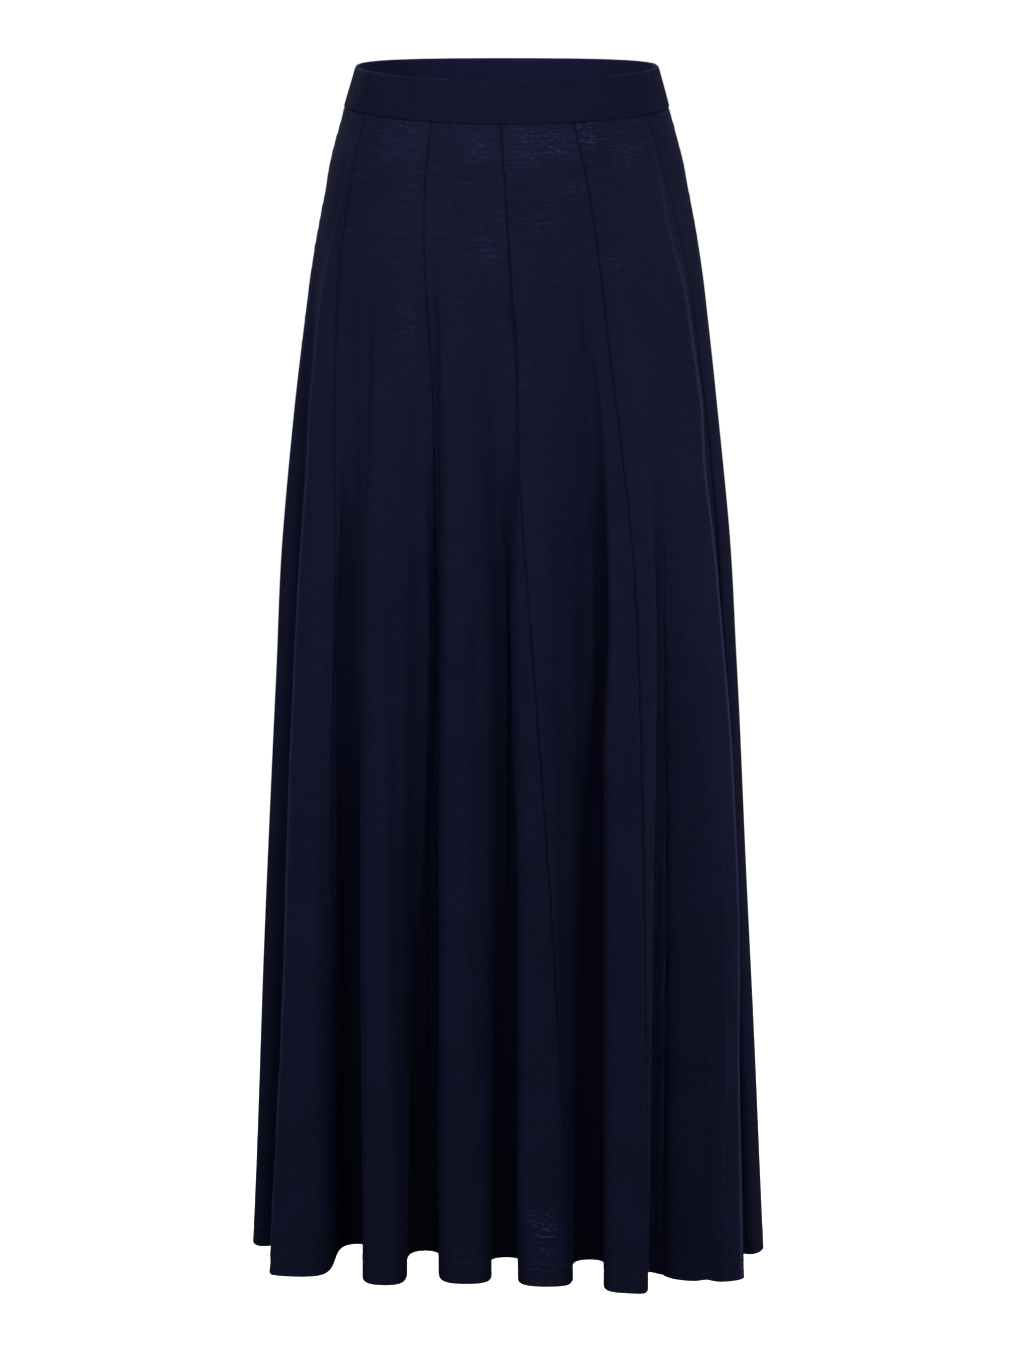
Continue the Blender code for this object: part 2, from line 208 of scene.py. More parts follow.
# Soft ridges and troughs that run down the folds
CREASE_COLUMNS = ("top_place", "foot_place", "top_drop", "foot_drop", "half_width", "height")
CREASES = (
    # On the front: narrow troughs where the valleys begin
    (1.74, 1.77, 0.11, 0.62, 0.0050, -0.0040),
    (2.64, 2.64, 0.09, 0.50, 0.0050, -0.0040),
    (3.79, 3.77, 0.09, 0.44, 0.0042, -0.0028),
    (3.73, 3.73, 0.34, 0.64, 0.0080, 0.0030),
    (4.66, 4.64, 0.10, 0.46, 0.0050, -0.0030),
    # Ridges on the folds' right flanks, and troughs between them and the crests
    (1.20, 1.17, 0.26, 1.00, 0.0080, -0.0025),
    (1.50, 1.52, 0.22, 0.92, 0.0130, -0.0085),
    (2.18, 2.16, 0.24, 1.05, 0.0075, -0.0028),
    (2.44, 2.42, 0.23, 0.80, 0.0085, 0.0070),
    (3.16, 3.12, 0.22, 1.00, 0.0080, -0.0026),
    (3.50, 3.43, 0.18, 0.84, 0.0115, 0.0080),
    (4.17, 4.14, 0.26, 1.10, 0.0080, -0.0028),
    (4.43, 4.40, 0.18, 0.68, 0.0120, 0.0060),
    (5.93, 6.03, 0.44, 1.80, 0.0068, -0.0058),
    # Edges that stand out sharply
    (0.86, 0.84, 0.14, 1.80, 0.0045, 0.0012),
    (6.23, 6.22, 0.14, 1.80, 0.0045, 0.0014),
    (0.36, 0.40, 0.35, 1.00, 0.0080, 0.0016),
    # On the sides and the back: the same kinds, each of another length and depth
    (7.42, 7.38, 0.30, 0.78, 0.0070, 0.0030),
    (8.16, 8.14, 0.27, 0.95, 0.0080, -0.0024),
    (8.38, 8.44, 0.25, 0.62, 0.0060, 0.0026),
    (9.02, 9.00, 0.45, 1.50, 0.0100, -0.0030),
    (9.44, 9.40, 0.28, 0.82, 0.0075, 0.0036),
    (10.17, 10.15, 0.24, 1.05, 0.0075, -0.0027),
    (10.36, 10.40, 0.33, 0.70, 0.0065, 0.0024),
    (11.00, 11.04, 0.40, 1.40, 0.0095, -0.0026),
    (11.42, 11.36, 0.26, 0.76, 0.0070, 0.0034),
    (12.18, 12.15, 0.30, 1.10, 0.0080, -0.0022),
    (12.40, 12.44, 0.30, 0.66, 0.0060, 0.0028),
    (13.38, 13.36, 0.24, 0.84, 0.0075, 0.0032),
    (14.46, 14.42, 0.34, 0.72, 0.0065, 0.0022),
)

# Where the knit's thick yarns lie, as soft patches of level streaks, with a painted sheen where they
# catch the light
SLUB_AND_PAINTED_SHEEN_COLUMNS = ("place", "drop", "half_width", "half_height", "strength")
SLUBS_AND_PAINTED_SHEEN = (
    # Below the waistband in front
    (1.75, 0.054, 0.026, 0.020, 0.45),
    (3.30, 0.052, 0.013, 0.011, 0.55),
    (4.22, 0.050, 0.026, 0.015, 0.85),
    (5.00, 0.044, 0.009, 0.011, 1.50),
    (5.66, 0.060, 0.022, 0.022, 0.45),
    (4.70, 0.088, 0.011, 0.008, 0.40),
    (4.22, 0.115, 0.014, 0.011, 0.55),
    (3.45, 0.137, 0.012, 0.021, 0.42),
    (5.20, 0.150, 0.006, 0.006, 0.80),
    (2.33, 0.207, 0.008, 0.042, 0.50),
    # Above the hem in front
    (3.98, 0.966, 0.011, 0.017, 1.70),
    (3.98, 1.002, 0.011, 0.020, 0.90),
    (3.03, 0.993, 0.015, 0.032, 0.32),
    (3.57, 0.990, 0.008, 0.017, 1.00),
    (2.47, 0.995, 0.007, 0.006, 1.00),
    # At the back
    (8.30, 0.060, 0.026, 0.020, 0.50),
    (9.30, 0.052, 0.028, 0.016, 0.80),
    (10.60, 0.055, 0.030, 0.018, 0.90),
    (10.20, 0.140, 0.022, 0.016, 0.50),
    (11.70, 0.060, 0.026, 0.022, 0.65),
    (12.90, 0.056, 0.024, 0.018, 0.55),
    (10.90, 0.985, 0.012, 0.028, 0.80),
)

# Painted rim lights: thin paler strips painted along some folds' edges, where side light grazes them
PAINTED_RIM_LIGHT_COLUMNS = ("top_place", "foot_place", "top_drop", "foot_drop", "half_width", "strength")
PAINTED_RIM_LIGHTS = (
    (0.882, 0.875, -0.05, 1.30, 0.0016, 1.30),
    (6.266, 6.080, -0.05, 1.30, 0.0021, 2.20),
    (7.780, 7.740, 0.20, 1.60, 0.0010, 0.40),
    (13.800, 13.840, 0.24, 1.50, 0.0010, 0.40),
)
PAINTED_RIM_LIGHT_REACH = 9.0  # in half widths

SHARP_ANGLE = math.radians(60)  # edges that turn more than this aren't shaded smooth


def columns(rows, names):
    """A table's rows as one array for each named column."""
    return dict(zip(names, np.array(rows, float).reshape(-1, len(names)).T))


def smooth_rows(places, rows, place):
    """The row at a place between given rows, along a smooth curve that never overshoots them."""
    places = np.asarray(places, float)
    rows = np.stack([np.asarray(row, float) for row in rows])
    flat = rows.reshape(len(rows), -1)
    step = np.diff(places)[:, None]
    rise = np.diff(flat, axis=0) / step
    slope = np.zeros_like(flat)
    slope[0] = rise[0]
    slope[-1] = rise[-1]
    before = rise[:-1]
    after = rise[1:]
    same_way = before * after > 0
    weight_before = 2 * step[1:] + step[:-1]
    weight_after = step[1:] + 2 * step[:-1]
    safe_before = np.where(same_way, before, 1)
    safe_after = np.where(same_way, after, 1)
    mean = (weight_before + weight_after) / (weight_before / safe_before + weight_after / safe_after)
    slope[1:-1] = np.where(same_way, mean, 0)
    k = int(np.clip(np.searchsorted(places, place) - 1, 0, len(places) - 2))
    t = (place - places[k]) / step[k, 0]
    found = (
        (1 + 2 * t) * (1 - t) ** 2 * flat[k]
        + t * (1 - t) ** 2 * step[k, 0] * slope[k]
        + t * t * (3 - 2 * t) * flat[k + 1]
        + t * t * (t - 1) * step[k, 0] * slope[k + 1]
    )
    return found.reshape(rows.shape[1:])


def bare_size(drop):
    """Half width, front depth and back depth of the bare form at a drop."""
    section = columns(SECTIONS, SECTION_COLUMNS)
    sizes = np.stack([section["half_width"], section["front"], section["back"]], axis=-1)
    return smooth_rows(section["drop"], sizes, drop)


def lengths_along(points):
    """How far along a line each of its points lies."""
    steps = np.linalg.norm(np.diff(points, axis=0), axis=-1)
    return np.concatenate([[0], np.cumsum(steps)])


def bare_ring(drop, shares):
    """Points of the bare form at shares of its girth, counted from the centre front to the right."""
    half_width, front, back = bare_size(drop)
    angle = np.linspace(0, 2 * math.pi, ARC_STEPS + 1)
    x = half_width * np.sin(angle)
    y = -np.cos(angle) * np.where(np.cos(angle) > 0, front, back)
    arc = lengths_along(np.stack([x, y], axis=-1))
    at = np.mod(shares, 1) * arc[-1]
    return np.stack([np.interp(at, arc, x), np.interp(at, arc, y)], axis=-1)


def unit(vectors):
    """The vectors, each made one long."""
    return vectors / np.linalg.norm(vectors, axis=-1, keepdims=True)


def folded_ring(rows, shelf):
    """Control points of a ring with folds, seven for each row of the table."""
    fold = columns(rows, FOLD_COLUMNS)
    heading = np.radians(fold["heading"])
    outward = np.stack([np.cos(heading), np.sin(heading)], axis=-1)
    along = np.stack([-outward[:, 1], outward[:, 0]], axis=-1)
    crest = np.stack([fold["x"], fold["y"]], axis=-1)
    half = fold["half_width"][:, None] * along
    left = crest - half
    right = crest + half
    top = crest + fold["crown"][:, None] * outward
    across = unit(along + np.roll(along, -1, axis=0))
    away = np.stack([across[:, 1], -across[:, 0]], axis=-1)
    dip = np.stack([fold["dip_x"], fold["dip_y"]], axis=-1)
    foot = fold["dip_half_width"][:, None] * across
    right_flank = (right + dip - foot) / 2 + shelf * (across + away)
    next_left_flank = (np.roll(left, -1, axis=0) + dip + foot) / 2
    points = [left, top, right, right_flank, dip - foot, dip + foot, next_left_flank]
    return np.stack(points, axis=1).reshape(-1, 2)


def fold_offsets():
    """How far the knee's and the hem's control points lie from the bare form's."""
    steps = np.arange(-1, CONTROLS_PER_FOLD - 1) / CONTROLS_PER_FOLD
    places = (np.arange(FOLD_COUNT)[:, None] + steps[None]).reshape(-1)
    shares = (places - CENTRE_FRONT) / FOLD_COUNT
    knee = folded_ring(KNEE_FOLDS, KNEE_SHELF) - bare_ring(KNEE_DROP, shares)
    hem = folded_ring(HEM_FOLDS, HEM_SHELF) - bare_ring(HEM_DROP, shares)
    return shares, knee, hem


SHARES, KNEE_OFFSETS, HEM_OFFSETS = fold_offsets()
CONTROLS = {}  # the rings' control points, kept because all the gores use the same drops


def ring_controls(drop):
    """Control points of the ring at a drop."""
    if drop not in CONTROLS:
        none = np.zeros_like(KNEE_OFFSETS)
        drops = (WAISTBAND_DROP, FOLDS_START, KNEE_DROP, HEM_DROP)
        offsets = smooth_rows(drops, (none, none, KNEE_OFFSETS, HEM_OFFSETS), max(drop, WAISTBAND_DROP))
        CONTROLS[drop] = bare_ring(drop, SHARES) + offsets
    return CONTROLS[drop]


def from_place(places, place):
    """How many folds each place lies from one place, the short way round the skirt."""
    return np.mod(places - place + FOLD_COUNT / 2, FOLD_COUNT) - FOLD_COUNT / 2


def fade(drop, top, foot):
    """1 between two drops, and smoothly down to 0 at both."""
    reach = FADE_SHARE * (foot - top)
    t = np.clip(np.minimum(drop - top, foot - drop) / reach, 0, 1)
    return t * t * (3 - 2 * t)


def pulled(drop, places):
    """How far the cloth hangs from the solids' curve, and how that changes from place to place."""
    moved = np.zeros((len(places), 2))
    change = np.zeros((len(places), 2))
    for row in PULLS:
        pull = dict(zip(PULL_COLUMNS, row))
        weight = fade(drop, pull["top_drop"], pull["foot_drop"])
        if weight > 0:
            away = from_place(places, pull["place"])
            bell = weight * np.exp(-((away / pull["reach"]) ** 2))[:, None]
            way = np.array([pull["right"], -pull["forward"]])
            moved += bell * way
            change -= (2 * away / pull["reach"] ** 2)[:, None] * bell * way
    return moved, change


def ring(drop, places):
    """Points, unit outward normals and metres per fold of the ring's cubic B-spline, with its pulls."""
    control = ring_controls(drop)
    at = np.asarray(places, float) * CONTROLS_PER_FOLD + 1
    whole = np.floor(at).astype(int)
    t = (at - whole)[:, None]
    a, b, c, d = (control[(whole + k) % len(control)] for k in (-1, 0, 1, 2))
    to_b = 3 * t**3 - 6 * t**2 + 4
    to_c = -3 * t**3 + 3 * t**2 + 3 * t + 1
    point = ((1 - t) ** 3 * a + to_b * b + to_c * c + t**3 * d) / 6
    tangent = (-((1 - t) ** 2) * a + (3 * t**2 - 4 * t) * b + (-3 * t**2 + 2 * t + 1) * c + t**2 * d) / 2
    moved, change = pulled(drop, np.asarray(places, float))
    point = point + moved
    tangent = tangent * CONTROLS_PER_FOLD + change
    stretch = np.linalg.norm(tangent, axis=-1)
    tangent = unit(tangent)
    normal = np.stack([tangent[:, 1], -tangent[:, 0]], axis=-1)
    return point, normal, stretch


def height(drop, x):
    """The height of a point at this drop: the waist sits a little higher at the sides."""
    side = np.clip(x / bare_size(drop)[0], -1, 1) ** 2
    return SIDE_RISE * side * max(0.0, 1 - drop / SIDE_RISE_FADES) - drop


def seam_place(places, drop):
    """Where a seam runs at a drop, counted in folds: it sways a little, as sewn seams do."""
    start = places[0]
    sway = ripple(drop, ((1.0, 0.053, start), (0.8, 0.023, 3 * start), (0.5, 0.0121, 5 * start)))
    place = smooth_rows(SEAM_DROPS, places, min(max(drop, SEAM_DROPS[0]), HEM_DROP))
    return float(place) + SEAM_SWAY * sway


def seams(number):
    """The places of a gore's left and right seams at each of the seams' drops."""
    turns, next_number = divmod(number + 1, len(GORES))
    right_seam = tuple(place + turns * FOLD_COUNT for place in GORES[next_number][3])
    return GORES[number][3], right_seam


# ---------------------------------------------------------------- the cloth's finer form


def ripple(at, waves):
    """A sum of waves, each given by its size, its length and its start."""
    return sum(size * np.sin(2 * math.pi * (at / length + start)) for size, length, start in waves)


def pucker(drop, seam_number):
    """How far the cloth beside a seam is drawn up, from -1 to 1, along the seam."""
    waves = (
        (0.45, 0.0115, 0.31 * seam_number),
        (0.35, 0.0073, 0.17 * seam_number + 0.4),
        (0.30, 0.0290, 0.23 * seam_number + 0.1),
    )
    return ripple(drop, waves)


def creases(drop, places, stretch):
    """How far the creases lift the cloth."""
    lift = np.zeros_like(places)
    for row in CREASES:
        crease = dict(zip(CREASE_COLUMNS, row))
        share = (drop - crease["top_drop"]) / (crease["foot_drop"] - crease["top_drop"])
        if 0 < share < 1:
            middle = crease["top_place"] + share * (crease["foot_place"] - crease["top_place"])
            away = from_place(places, middle)
            bell = np.exp(-((away * stretch / crease["half_width"]) ** 2))
            lift += crease["height"] * fade(drop, crease["top_drop"], crease["foot_drop"]) * bell
    return lift


def slub_and_painted_sheen_strength(drop, places, stretch):
    """How strongly the thick yarns and their painted sheen show."""
    strength = np.zeros_like(places)
    for row in SLUBS_AND_PAINTED_SHEEN:
        patch = dict(zip(SLUB_AND_PAINTED_SHEEN_COLUMNS, row))
        across = from_place(places, patch["place"]) * stretch / patch["half_width"]
        down = (drop - patch["drop"]) / patch["half_height"]
        strength += patch["strength"] * np.exp(-(across**4) - down**4)
    return strength


def painted_rim_light(drop, places, stretch):
    """How strong the painted rim light along the nearest fold's edge is, and how many half widths away
    that edge is.
    """
    strength = np.zeros_like(places)
    nearest = np.full_like(places, PAINTED_RIM_LIGHT_REACH)
    for row in PAINTED_RIM_LIGHTS:
        edge = dict(zip(PAINTED_RIM_LIGHT_COLUMNS, row))
        share = (drop - edge["top_drop"]) / (edge["foot_drop"] - edge["top_drop"])
        if 0 < share < 1:
            middle = edge["top_place"] + share * (edge["foot_place"] - edge["top_place"])
            away = from_place(places, middle)
            half_widths = away * stretch / edge["half_width"]
            near = np.abs(half_widths) < PAINTED_RIM_LIGHT_REACH
            strength[near] = edge["strength"] * fade(drop, edge["top_drop"], edge["foot_drop"])
            nearest[near] = half_widths[near]
    return strength, nearest


def unevenness(drop, places):
    """A slow unevenness of hanging cloth, less than a millimetre."""
    down = ripple(drop, ((1.0, 0.61, 0.1), (0.6, 0.37, 0.55)))
    round_skirt = places / FOLD_COUNT
    across = ripple(round_skirt, ((1.0, 1 / 18, 0.2), (0.8, 1 / 32, 0.7), (0.6, 1 / 9, 0.35)))
    slant = ripple(round_skirt + 0.11 * drop, ((1.0, 1 / 25, 0.15), (0.7, 1 / 13, 0.45)))
    growth = np.clip((drop - UNEVENNESS_START) / UNEVENNESS_GROWS, 0, 1)
    return UNEVENNESS * growth * (across * (1 + 0.4 * down) + slant)


def row_across(drop, left_seam, right_seam, count):
    """One row of a gore: places from seam to seam, and each one's distance from both seams."""
    left = seam_place(left_seam, drop)
    right = seam_place(right_seam, drop)
    fine = np.linspace(left, right, FINE_STEPS * math.ceil(right - left) + 1)
    arc = lengths_along(ring(drop, fine)[0])
    width = arc[-1]
    edge = SEAM_SLIT / 2 + np.array(EDGE_COLUMNS)
    between = np.linspace(edge[-1], width - edge[-1], count + 2)[1:-1]
    at = np.concatenate([edge, between, width - edge[::-1]])
    return np.interp(at, arc, fine), at, width - at


def seam_groove(away):
    """How deep the cloth is drawn in at a distance from a seam."""
    return GROOVE_DEPTH * np.exp(-((away / GROOVE_HALF_WIDTH) ** 2))


def outside_offset(drop, places, stretch, from_left, from_right, number):
    """How far the cloth's outside lies from the middle of the solid's wall."""
    nearest = np.minimum(from_left, from_right)
    seam_number = np.where(from_left < from_right, number, (number + 1) % len(GORES))
    groove = seam_groove(nearest)
    beside = np.exp(-((nearest / PUCKER_REACH) ** 2))
    drawn = PUCKER_HEIGHT * beside * pucker(drop, seam_number)
    tuck = TUCK_DEPTH * math.exp(-(((drop - WAISTBAND_DROP) / TUCK_REACH) ** 2))
    lift = creases(drop, places, stretch) + unevenness(drop, places)
    return SOLID_HALF_WALL + lift + drawn - groove - tuck


def place_row(drop, places, offset):
    """Points of a row, moved out from the middle of the solid's wall."""
    point, normal, _ = ring(drop, places)
    z = height(drop, point[:, 0])
    return np.column_stack([point + offset[:, None] * normal, z])


def outside_drops():
    """Rows down the outside: closer together under the waistband and at the hem."""
    top = WAISTBAND_DROP + SEAM_GAP
    under_band = top + np.array(ROWS_BELOW_BAND)
    above_hem = HEM_DROP - np.array(ROWS_ABOVE_HEM)
    between = np.linspace(under_band[-1], above_hem[0], OUTSIDE_ROWS + 2)[1:-1]
    return np.concatenate([under_band, between, above_hem])


def gore_loop():
    """Drop and depth in the cloth of each row round a gore's section, down its outside and up inside."""
    rows = [(drop, 0.0) for drop in outside_drops()]
    for angle in np.radians((30, 60, 90, 120, 150, 180)):
        drop = HEM_DROP - HEM_ROUND + HEM_ROUND * math.sin(angle)
        rows.append((drop, HEM_ROUND * (1 - math.cos(angle))))
    turn = HEM_DROP - HEM_TURN
    for drop in np.linspace(HEM_DROP - HEM_ROUND, turn, HEM_ROWS)[1:]:
        rows.append((drop, 2 * HEM_ROUND))
    rows.append((turn - HEM_EDGE, CLOTH))
    top = WAISTBAND_DROP + SEAM_GAP
    for drop in np.linspace(turn - HEM_EDGE, top, INSIDE_ROWS)[1:]:
        rows.append((drop, CLOTH))
    return rows


def add_object(name, data):
    """An object with this mesh, lamp or camera, in the scene."""
    added = bpy.data.objects.new(name, data)
    bpy.context.scene.collection.objects.link(added)
    return added


def add_piece(name, points, faces, cloth_at, material, slubs_and_painted_sheen=0.0, side=0.0, from_edge=PAINTED_RIM_LIGHT_REACH):
    """A mesh piece whose points carry their place in the cloth, and its finish and painted light.

    The finish and painted light are the strength of the thick yarns with their painted sheen, the side
    (1 for the wrong side, which is painted paler against its shade, and below 0 where a painted rim
    light runs along a fold's edge) and how many of its half widths away that edge is.
    """
    mesh = bpy.data.meshes.new(name)
    mesh.from_pydata(points.tolist(), [], faces)
    at = mesh.attributes.new("cloth", "FLOAT_VECTOR", "POINT")
    at.data.foreach_set("vector", np.ascontiguousarray(cloth_at, np.float32).ravel())
    finish_and_painted_light = np.zeros((len(points), 3), np.float32)
    finish_and_painted_light[:, 0] = slubs_and_painted_sheen
    finish_and_painted_light[:, 1] = side
    finish_and_painted_light[:, 2] = from_edge
    mesh.attributes.new("finish_and_painted_light", "FLOAT_VECTOR", "POINT").data.foreach_set("vector", finish_and_painted_light.ravel())
    mesh.materials.append(material)
    mesh.update()
    mesh.shade_smooth()
    mesh.set_sharp_from_angle(angle=SHARP_ANGLE)
    return add_object(name, mesh)


def grid_faces(rows, width, first_row=0, flip=False):
    """Quads between neighbouring rows of points."""
    faces = []
    for k in range(first_row, first_row + rows - 1):
        for a in range(width - 1):
            here = k * width + a
            face = (here, here + width, here + width + 1, here + 1)
            faces.append(face[::-1] if flip else face)
    return faces


def side_faces(loop, column, width, right_side):
    """A gore's side, between its outside and its inside."""
    bottom = max(range(len(loop)), key=lambda k: loop[k][0])
    outer = bottom
    inner = bottom
    faces = []
    while outer > 0 or inner < len(loop) - 1:
        next_outer = loop[outer - 1][0] if outer > 0 else -math.inf
        next_inner = loop[inner + 1][0] if inner < len(loop) - 1 else -math.inf
        if next_outer >= next_inner:
            face = (outer, outer - 1, inner)
            outer -= 1
        else:
            face = (outer, inner + 1, inner)
            inner += 1
        if len(set(face)) == 3:
            ends = tuple(k * width + column for k in face)
            faces.append(ends[::-1] if right_side else ends)
    return faces


def gore_piece(number, material):
    """A gore as a thin closed shell, with its hem turned up inside."""
    name, hem_width = GORES[number][:2]
    left_seam, right_seam = seams(number)
    count = math.ceil(hem_width / COLUMN_SPACING)
    loop = gore_loop()
    points = []
    cloth_at = []
    slubs_and_painted_sheen = []
    side = []
    from_edge = []
    for drop, depth in loop:
        places, from_left, from_right = row_across(drop, left_seam, right_seam, count)
        stretch = ring(drop, places)[2]
        offset = outside_offset(drop, places, stretch, from_left, from_right, number) - depth
        points.append(place_row(drop, places, offset))
        nearest = np.minimum(from_left, from_right)
        across = number * GORE_SPACING + from_left
        cloth_at.append(np.column_stack([across, np.full_like(across, drop), nearest]))
        slubs_and_painted_sheen.append(slub_and_painted_sheen_strength(drop, places, stretch))
        # The painted rim light along the nearest fold's edge
        pale, edge_away = painted_rim_light(drop, places, stretch)
        # The inside is the wrong side, painted paler against its shade; the outside carries the painted
        # rim light
        side.append(np.full_like(across, 1.0) if depth == CLOTH else -pale)
        from_edge.append(edge_away)
    width = len(points[0])
    faces = grid_faces(len(loop), width)
    faces.extend(side_faces(loop, 0, width, False))
    faces.extend(side_faces(loop, width - 1, width, True))
    last = (len(loop) - 1) * width
    for a in range(width - 1):
        faces.append((a, a + 1, last + a + 1, last + a))
    finish_and_painted_light = [np.concatenate(part) for part in (slubs_and_painted_sheen, side, from_edge)]
    return add_piece(
        "cloth_" + name, np.concatenate(points), faces, np.concatenate(cloth_at), material, *finish_and_painted_light
    )


# ---------------------------------------------------------------- the waistband

WAISTBAND_SECTION = (
    # share of the half thickness, drop
    (0.35, 0.0340),
    (0.78, 0.0337),
    (0.97, 0.0330),
    (1.00, 0.0318),
    (1.06, 0.0280),
    (1.10, 0.0220),
    (1.10, 0.0150),
    (1.06, 0.0090),
    (1.00, 0.0050),
    (0.96, 0.0028),
    (0.84, 0.0013),
    (0.60, 0.0004),
    (0.25, 0.0000),
    (-0.25, 0.0000),
    (-0.60, 0.0004),
    (-0.84, 0.0013),
    (-0.96, 0.0028),
    (-1.00, 0.0060),
    (-1.00, 0.0130),
    (-1.00, 0.0220),
    (-1.00, 0.0310),
    (-0.90, 0.0332),
    (-0.60, 0.0340),
)
WAISTBAND_STEPS = 200
# The cloth beyond this share, on the wrong side, is painted paler against the shade it lies in
WRONG_SIDE_SHARE = -0.5  # beyond this share of the half thickness the cloth's wrong side begins


def waistband_piece(name, left_seam, right_seam, material):
    """Half of the waistband: its folded section carried round from one side seam to the other."""
    left = left_seam[0]
    right = right_seam[0]
    middle = np.linspace(left, right, WAISTBAND_STEPS + 1)
    stretch = ring(WAISTBAND_DROP, middle)[2].mean()
    edge = (SEAM_SLIT / 2 + np.array(EDGE_COLUMNS)) / stretch
    between = np.linspace(left + edge[-1], right - edge[-1], WAISTBAND_STEPS + 2)[1:-1]
    places = np.concatenate([left + edge, between, right - edge[::-1]])
    from_left = (places - left) * stretch
    nearest = np.minimum(from_left, (right - places) * stretch)
    groove = WAISTBAND_GROOVE_DEPTH * np.exp(-((nearest / GROOVE_HALF_WIDTH) ** 2))
    points = []
    cloth_at = []
    side = []
    for share, drop in WAISTBAND_SECTION:
        out = share * WAISTBAND_HALF_CLOTH
        wave = WAISTBAND_WAVE * ripple(places + 3 * drop, ((1.0, 0.71, 0.1), (0.8, 0.33, 0.6)))
        sink = math.copysign(1, share) * groove
        points.append(place_row(drop, places, out + wave - sink))
        cloth_at.append(np.column_stack([from_left, np.full_like(from_left, drop), nearest]))
        # The wrong side is painted paler against its shade
        side.append(np.full_like(from_left, 1.0 if share < WRONG_SIDE_SHARE else 0.0))
    width = len(places)
    count = len(points)
    faces = grid_faces(count, width, flip=True)
    last = (count - 1) * width
    for a in range(width - 1):
        faces.append((a + 1, a, last + a, last + a + 1))
    faces.append(tuple(k * width for k in range(count)))
    faces.append(tuple(k * width + width - 1 for k in reversed(range(count))))
    points = np.concatenate(points)
    side = np.concatenate(side)
    return add_piece(name, points, faces, np.concatenate(cloth_at), material, side=side)


# ---------------------------------------------------------------- sewing

STITCH_SECTION = (
    # share of the length, share of the radius, radii above the cloth
    (0.00, 0.35, -1.10),
    (0.12, 0.85, -0.20),
    (0.50, 1.00, 0.25),
    (0.88, 0.85, -0.20),
    (1.00, 0.35, -1.10),
)
ALLOWANCE_SECTION = (
    # share of the width, depth in the cloth
    (-0.20, 0.0009),
    (-0.08, 0.0009),
    (0.00, 0.0009),
    (0.08, 0.0009),
    (0.20, 0.0009),
    (0.50, 0.0009),
    (0.97, 0.0010),
    (1.00, 0.0015),
    (0.97, 0.0022),
    (0.50, 0.0023),
    (0.20, 0.0022),
    (0.00, 0.0020),
    (-0.16, 0.0014),
)


def stitch_faces(first):
    """A stitch's faces, round it and at both its ends, from the number of its first point."""
    faces = []
    for k in range(len(STITCH_SECTION) - 1):
        here = first + k * STITCH_SIDES
        there = here + STITCH_SIDES
        for a in range(STITCH_SIDES):
            b = (a + 1) % STITCH_SIDES
            faces.append((here + a, here + b, there + b, there + a))
    end = first + (len(STITCH_SECTION) - 1) * STITCH_SIDES
    faces.append(tuple(range(first, first + STITCH_SIDES))[::-1])
    faces.append(tuple(range(end, end + STITCH_SIDES)))
    return faces


def hem_stitching(number, material):
    """Two rows of stitches round a gore's hem."""
    left_seam, right_seam = seams(number)
    angles = np.radians(np.arange(STITCH_SIDES) * 360 / STITCH_SIDES)
    lengths, radii, lifts = np.array(STITCH_SECTION).T
    points = []
    faces = []
    for above in STITCH_ROWS:
        drop = HEM_DROP - above
        fine = np.linspace(seam_place(left_seam, drop), seam_place(right_seam, drop), STITCH_LINE_POINTS)
        arc = lengths_along(ring(drop, fine)[0])
        last_start = arc[-1] - STITCH_LENGTH - STITCH_PITCH / 2
        for start in np.arange(STITCH_PITCH / 2, last_start, STITCH_PITCH):
            along = start + STITCH_LENGTH * lengths
            places = np.interp(along, arc, fine)
            where, normal, stretch = ring(drop, places)
            outside = outside_offset(drop, places, stretch, along, arc[-1] - along, number)
            middle = outside + STITCH_RADIUS * lifts
            z = height(drop, where[:, 0])
            faces.extend(stitch_faces(len(points) * STITCH_SIDES))
            for k, radius in enumerate(STITCH_RADIUS * radii):
                out = middle[k] + radius * np.cos(angles)
                plan = where[k] + out[:, None] * normal[k]
                points.append(np.column_stack([plan, z[k] + radius * np.sin(angles)]))
    points = np.concatenate(points)
    name = "stitching_" + GORES[number][0]
    return add_piece(name, points, faces, np.zeros_like(points), material)


def seam_allowance(number, material):
    """The overlocked edges of a gore's left seam, pressed to one side inside the skirt."""
    left_seam = seams(number)[0]
    first_drop = WAISTBAND_DROP + ALLOWANCE_END
    last_drop = HEM_DROP - HEM_TURN - ALLOWANCE_END
    drops = np.linspace(first_drop, last_drop, ALLOWANCE_ROWS)
    shares, depths = np.array(ALLOWANCE_SECTION).T
    points = []
    cloth_at = []
    for drop in drops:
        seam = seam_place(left_seam, drop)
        stretch = ring(drop, [seam])[2][0]
        waves = ((1.0, 0.083, 0.13 * number), (0.7, 0.031, 0.4))
        sway = 1 + ALLOWANCE_SWAY * float(ripple(drop, waves))
        across = shares * ALLOWANCE_WIDTH * sway
        places = seam + across / stretch
        lift = unevenness(drop, places) + creases(drop, places, stretch) - seam_groove(across)
        points.append(place_row(drop, places, SOLID_HALF_WALL + lift - depths))
        even = np.ones_like(across)
        cloth_at.append(np.column_stack([across, drop * even, FAR_FROM_SEAM * even]))
    width = len(ALLOWANCE_SECTION)
    faces = grid_faces(len(drops), width, flip=True)
    for k in range(len(drops) - 1):
        here = k * width
        faces.append((here, here + width, here + 2 * width - 1, here + width - 1))
    faces.append(tuple(range(width)))
    faces.append(tuple(range((len(drops) - 1) * width, len(drops) * width))[::-1])
    name = "allowance_" + GORES[number][0]
    return add_piece(name, np.concatenate(points), faces, np.concatenate(cloth_at), material)


# ---------------------------------------------------------------- materials

